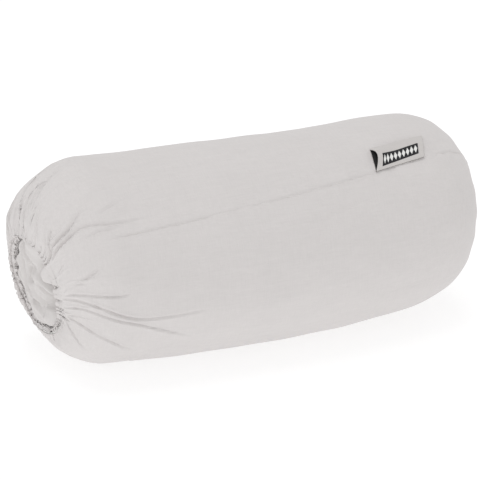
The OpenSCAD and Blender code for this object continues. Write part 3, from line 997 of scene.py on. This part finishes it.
def liner_grid():
    """Rows of the liner from the nose to the closed end, as straight points."""
    body = inner_wall_profile(LINER_GATHER_INSET, LINER_INSET, 26, 76, 50)
    profile = np.concatenate([smooth_line(NOSE), body])
    profile_x, profile_r = profile[:, :1], profile[:, 1:]
    degrees = np.arange(LINER_COLUMNS) * 360 / LINER_COLUMNS
    room = 1 - swelling(degrees, *NOSE_SQUEEZE) * smooth_step(-profile_x, 205, 216)
    sag = swelling(degrees, *NOSE_SAG) * smooth_step(-profile_x, 206, 222) * smooth_step(profile_r, 15, 40)
    grid = on_axis(profile_x - sag, profile_r * room, degrees[None, :])
    out = normals(grid)
    x, r = grid[..., 0], np.hypot(grid[..., 1], grid[..., 2])
    relief = 0.35 * ripple(grid, 30, 41) + 0.8 * ripple(grid, 18, 42) * smooth_step(-x, 208, 218)
    nose = x[:, 0] < NOSE_START_X
    for line, width, lean, ridge in NOSE_CREASES:
        pulled_in = crease(grid[nose], out[nose], line, NOSE_CREASE_WIDTH * width, lean, ridge, NOSE_FACE_X)
        relief[nose] -= NOSE_CREASE_DEPTH * pulled_in
    for seam_x in (LINER_MOUTH_SEAM_X, LINER_CLOSED_SEAM_X):
        away = np.abs(x - seam_x) / LINER_SEAM_WIDTH
        pucker = 0.3 * np.sin(np.radians(degrees) * 90)[None, :] * np.exp(-(away / 2) ** 2)
        relief += pucker - 1.2 * np.exp(-away ** 2)
    around = (np.degrees(np.arctan2(-grid[..., 1], grid[..., 2])) - LINER_SEAM_ANGLE + 180) % 360 - 180
    away = np.radians(around) * r / LINER_SEAM_WIDTH
    on_tube = smooth_step(x, LINER_MOUTH_SEAM_X, LINER_MOUTH_SEAM_X + 4)
    on_tube = on_tube * (1 - smooth_step(x, LINER_CLOSED_SEAM_X - 4, LINER_CLOSED_SEAM_X))
    relief -= on_tube * np.exp(-away ** 2)
    return grid + out * relief[..., None]


def build_liner(grid, material):
    """The liner: one closed skin of cloth."""
    cloth = Cloth()
    cloth.closed_grid(settled(grid, LINER_FLOOR))
    liner = cloth.piece("inner_pillow_liner", [material], "inner_pillow", "liner_cloth")
    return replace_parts(liner, "liner_tube", "liner_mouth_end", "liner_closed_end")


def build_filling(grid, material):
    """The fibre filling: a coarser and smaller copy of the liner, further back from its creased nose."""
    coarse = grid[::4, ::3] * (0.985, 0.96, 0.96)
    coarse[..., 0] = np.where(coarse[..., 0] < 0, 0.9 * coarse[..., 0], coarse[..., 0])
    coarse = coarse + 0.8 * ripple(coarse, 18, 51)[..., None] * normals(coarse)
    cloth = Cloth()
    cloth.closed_grid(settled(coarse, FIBRE_FLOOR))
    filling = cloth.piece("fibre_filling", [material], "inner_pillow", "fibre_filling")
    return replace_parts(filling, "filling")


def build_liner_threads(grid, material):
    """Threads of the liner: its side seam, its hand-sewn closing, and the seams round both ends."""
    x = grid[..., 0].mean(axis=1)
    rows = np.argsort(x)
    column = int(round(LINER_SEAM_ANGLE / 360 * LINER_COLUMNS)) % LINER_COLUMNS
    places = np.arange(LINER_MOUTH_SEAM_X + 3, LINER_CLOSED_SEAM_X - 3, 3.4)
    on_seam = np.stack([np.interp(places, x[rows], grid[rows, column, k]) for k in range(3)], 1)
    sewn = np.abs(places) > CLOSING_LENGTH / 2 + 5
    seam = Cloth()
    for part in (places < 0, places > 0):
        stitch_line(seam, settled(on_seam[part & sewn], LINER_FLOOR), LINER_THREAD_R)
    thread_piece("liner_seam_thread", seam, material, "inner_pillow", "liner_thread")

    closing = Cloth()
    across = (LINER_SEAM_ANGLE - 1.3, LINER_SEAM_ANGLE + 1.3)
    for place in np.arange(-CLOSING_LENGTH / 2, CLOSING_LENGTH / 2, 5.0):
        ends = on_axis((place, place + 2.5), RADIUS - LINER_INSET + 0.25, across)
        stitch_line(closing, settled(ends, LINER_FLOOR), THREAD_R, share=1.0)
    thread_piece("liner_closing_stitches", closing, material, "inner_pillow", "liner_thread")

    body = rows[x[rows] > -198]
    ends = {"liner_mouth_end_thread": LINER_MOUTH_SEAM_X, "liner_closed_end_thread": LINER_CLOSED_SEAM_X}
    for name, seam_x in ends.items():
        ring = np.stack([[np.interp(seam_x, x[body], grid[body, j, k]) for k in range(3)]
                         for j in range(LINER_COLUMNS)])
        cloth = Cloth()
        stitch_line(cloth, settled(np.concatenate([ring, ring[:1]]), LINER_FLOOR), LINER_THREAD_R)
        thread_piece(name, cloth, material, "inner_pillow", "liner_thread")


# ---------- materials
ROUGHNESS = 0.9
SHEEN_ROUGHNESS = 0.5
SPECULAR = 0.25
BUMP_STRENGTH = 0.6
# How much lighter and darker the colour gets over the weave, and how much of that comes in broad patches
TONE_RANGE = 0.05
PATCHES = 0.6


def cloth_material(name, color, thread=1.1, relief=0.25, sheen=0.15):
    """Plain-woven cloth: threads along X and round it, with slubs, and a little unevenness of colour.
    thread is the spacing of the threads and relief is their height, in millimetres."""
    material = bpy.data.materials.new(name)
    material.use_nodes = True
    tree = material.node_tree
    shader = tree.nodes["Principled BSDF"]
    shader.inputs["Roughness"].default_value = ROUGHNESS
    shader.inputs["Sheen Weight"].default_value = sheen
    shader.inputs["Sheen Roughness"].default_value = SHEEN_ROUGHNESS
    shader.inputs["Specular IOR Level"].default_value = SPECULAR

    def node(kind, inputs, **settings):
        """The first output of a new node, with its inputs linked or set by number or name."""
        made = tree.nodes.new(kind)
        for key, value in settings.items():
            setattr(made, key, value)
        for key, value in inputs.items():
            if isinstance(value, bpy.types.NodeSocket):
                tree.links.new(value, made.inputs[key])
            else:
                made.inputs[key].default_value = value
        return made.outputs[0]

    def noise(place, scale, detail, roughness):
        inputs = {0: place, "Scale": scale, "Detail": detail, "Roughness": roughness}
        return node("ShaderNodeTexNoise", inputs)

    place = tree.nodes.new("ShaderNodeTexCoord").outputs["Object"]
    fine, coarse = 1 / (thread * MM), 1 / (9 * thread * MM)
    threads = []
    for scale in ((coarse, fine, fine), (fine, coarse, coarse)):
        spread = node("ShaderNodeMapping", {0: place, "Scale": scale})
        threads.append(noise(spread, 1.0, 2.0, 0.6))
    weave = node("ShaderNodeMath", {0: threads[0], 1: threads[1]}, operation="ADD")
    slubs = noise(node("ShaderNodeMapping", {0: place, "Scale": (25, 260, 260)}), 1.0, 3.0, 0.6)
    height = node("ShaderNodeMath", {0: slubs, 1: 0.7, 2: weave}, operation="MULTIPLY_ADD")
    bump = node("ShaderNodeBump", {"Strength": BUMP_STRENGTH, "Distance": relief * MM, "Height": height})
    tree.links.new(bump, shader.inputs["Normal"])
    patches = noise(place, 22.0, 4.0, 0.55)
    mixed = node("ShaderNodeMath", {0: patches, 1: PATCHES, 2: height}, operation="MULTIPLY_ADD")
    shade = node("ShaderNodeMapRange", {0: mixed, 1: 0.9, 2: 2.1, 3: 0.0, 4: 1.0})
    dark = tuple(c * (1 - TONE_RANGE) for c in color) + (1,)
    light = tuple(min(1, c * (1 + TONE_RANGE)) for c in color) + (1,)
    tone = node("ShaderNodeMix", {0: shade, 6: dark, 7: light}, data_type="RGBA").node
    tree.links.new(tone.outputs[2], shader.inputs["Base Color"])
    return material


# ---------- camera, light and floor
CAMERA_AZIMUTH = 22.7
CAMERA_ELEVATION = 22.6
CAMERA_DISTANCE = 2.13
CAMERA_LENS = 165.3
SENSOR_WIDTH = 36
CAMERA_TARGET = Vector((-0.0072, 0.0075, 0.0894))
WORLD_STRENGTH = 0.72
FLOOR_SIDE = 6.0
FLOOR_COLOR = (0.5, 0.5, 0.5, 1)
FLOOR_GLOW = 0.6
FLOOR_ROUGHNESS = 0.9
LAMP_SIZE = 1.6
LAMP_TARGET = Vector((0, 0, 0.08))
# Soft lamps: name, place in metres, and power
LAMPS = [
    ("front", (-0.6, -2.6, 0.45), 2.5),
    ("left", (-2.4, -0.8, 0.7), 6),
    ("top", (0.0, 0.2, 2.6), 14),
]


def add_to_scene(name, data, place=(0, 0, 0)):
    """A new object at a place in the scene."""
    added = bpy.data.objects.new(name, data)
    bpy.context.scene.collection.objects.link(added)
    added.location = place
    return added


def add_camera():
    """The camera, at the photograph's viewing angle."""
    azimuth, elevation = np.radians(CAMERA_AZIMUTH), np.radians(CAMERA_ELEVATION)
    flat = np.cos(elevation)
    back = Vector((-np.sin(azimuth) * flat, -np.cos(azimuth) * flat, np.sin(elevation)))
    place = CAMERA_TARGET + back * CAMERA_DISTANCE
    camera = add_to_scene("camera", bpy.data.cameras.new("camera"), place)
    camera.rotation_euler = (-back).to_track_quat("-Z", "Y").to_euler()
    camera.data.lens = CAMERA_LENS
    camera.data.sensor_width = SENSOR_WIDTH
    bpy.context.scene.camera = camera


def add_lamp(name, place, power):
    """A square soft lamp aimed at the bolster."""
    light = bpy.data.lights.new(name, "AREA")
    light.size = LAMP_SIZE
    light.energy = power
    lamp = add_to_scene(name, light, place)
    lamp.rotation_euler = (LAMP_TARGET - Vector(place)).to_track_quat("-Z", "Y").to_euler()


def add_floor():
    """Plain pale floor that glows a little, so that it stays white."""
    mesh = bpy.data.meshes.new("floor")
    corners = [(-FLOOR_SIDE, -FLOOR_SIDE, 0), (FLOOR_SIDE, -FLOOR_SIDE, 0),
               (FLOOR_SIDE, FLOOR_SIDE, 0), (-FLOOR_SIDE, FLOOR_SIDE, 0)]
    mesh.from_pydata(corners, [], [(0, 1, 2, 3)])
    add_to_scene("floor", mesh)
    material = bpy.data.materials.new("floor")
    material.use_nodes = True
    inputs = material.node_tree.nodes["Principled BSDF"].inputs
    inputs["Base Color"].default_value = FLOOR_COLOR
    inputs["Roughness"].default_value = FLOOR_ROUGHNESS
    inputs["Emission Color"].default_value = (1, 1, 1, 1)
    inputs["Emission Strength"].default_value = FLOOR_GLOW
    mesh.materials.append(material)


def add_studio():
    """Plain pale floor and soft light all round."""
    scene = bpy.context.scene
    scene.view_settings.view_transform = "Standard"
    scene.world = bpy.data.worlds.new("studio")
    scene.world.use_nodes = True
    sky = scene.world.node_tree.nodes["Background"].inputs
    sky["Color"].default_value = (1, 1, 1, 1)
    sky["Strength"].default_value = WORLD_STRENGTH
    add_floor()
    for name, place, power in LAMPS:
        add_lamp(name, place, power)


# ---------- everything together
# Size that the care label is cut to, laid flat, in metres: its length and its height
CARE_LABEL_CUT = (0.030, 0.018)

add_camera()
add_studio()
cover_cloth = cloth_material("cover_cloth", (0.675, 0.648, 0.64))
cover_thread = cloth_material("cover_thread", (0.72, 0.69, 0.67), thread=0.3, relief=0.05)
elastic_cloth = cloth_material("elastic", (0.82, 0.82, 0.80), thread=0.5, relief=0.15)
care_cloth = cloth_material("care_label", (0.88, 0.88, 0.87), thread=0.3, relief=0.03, sheen=0.3)
tape_cloth = cloth_material("label_tape", (0.60, 0.575, 0.56), thread=0.4, relief=0.08)
# Painted shade: the inner faces of the label's loop are near-black, for the shade inside the narrow loop.
loop_painted_shade = cloth_material("label_loop_painted_shade", (0.02, 0.02, 0.02), thread=0.4, relief=0.08)
field_cloth = cloth_material("label_field", (0.02, 0.02, 0.022), thread=0.35, relief=0.06)
motif_cloth = cloth_material("label_motif", (0.82, 0.82, 0.80), thread=0.35, relief=0.06)
liner_cloth = cloth_material("liner_cloth", (0.665, 0.64, 0.63), thread=0.7, relief=0.12)
liner_thread = cloth_material("liner_thread", (0.78, 0.77, 0.76), thread=0.3, relief=0.05)
fibre = cloth_material("fibre_filling", (0.92, 0.92, 0.91), thread=2.0, relief=0.8)

cover = build_cover(cover_cloth)
hem = build_hem(cover_cloth)
elastic = build_elastic(elastic_cloth)
stitches = [build(cover_thread) for build in (build_hem_stitches, build_side_seam, build_end_seam)]
care_label = build_care_label(care_cloth)
label = build_label(tape_cloth, loop_painted_shade)
build_label_field(field_cloth)
build_label_motif(motif_cloth)
liner_rows = liner_grid()
liner = build_liner(liner_rows, liner_cloth)
filling = build_filling(liner_rows, fibre)
build_liner_threads(liner_rows, liner_thread)
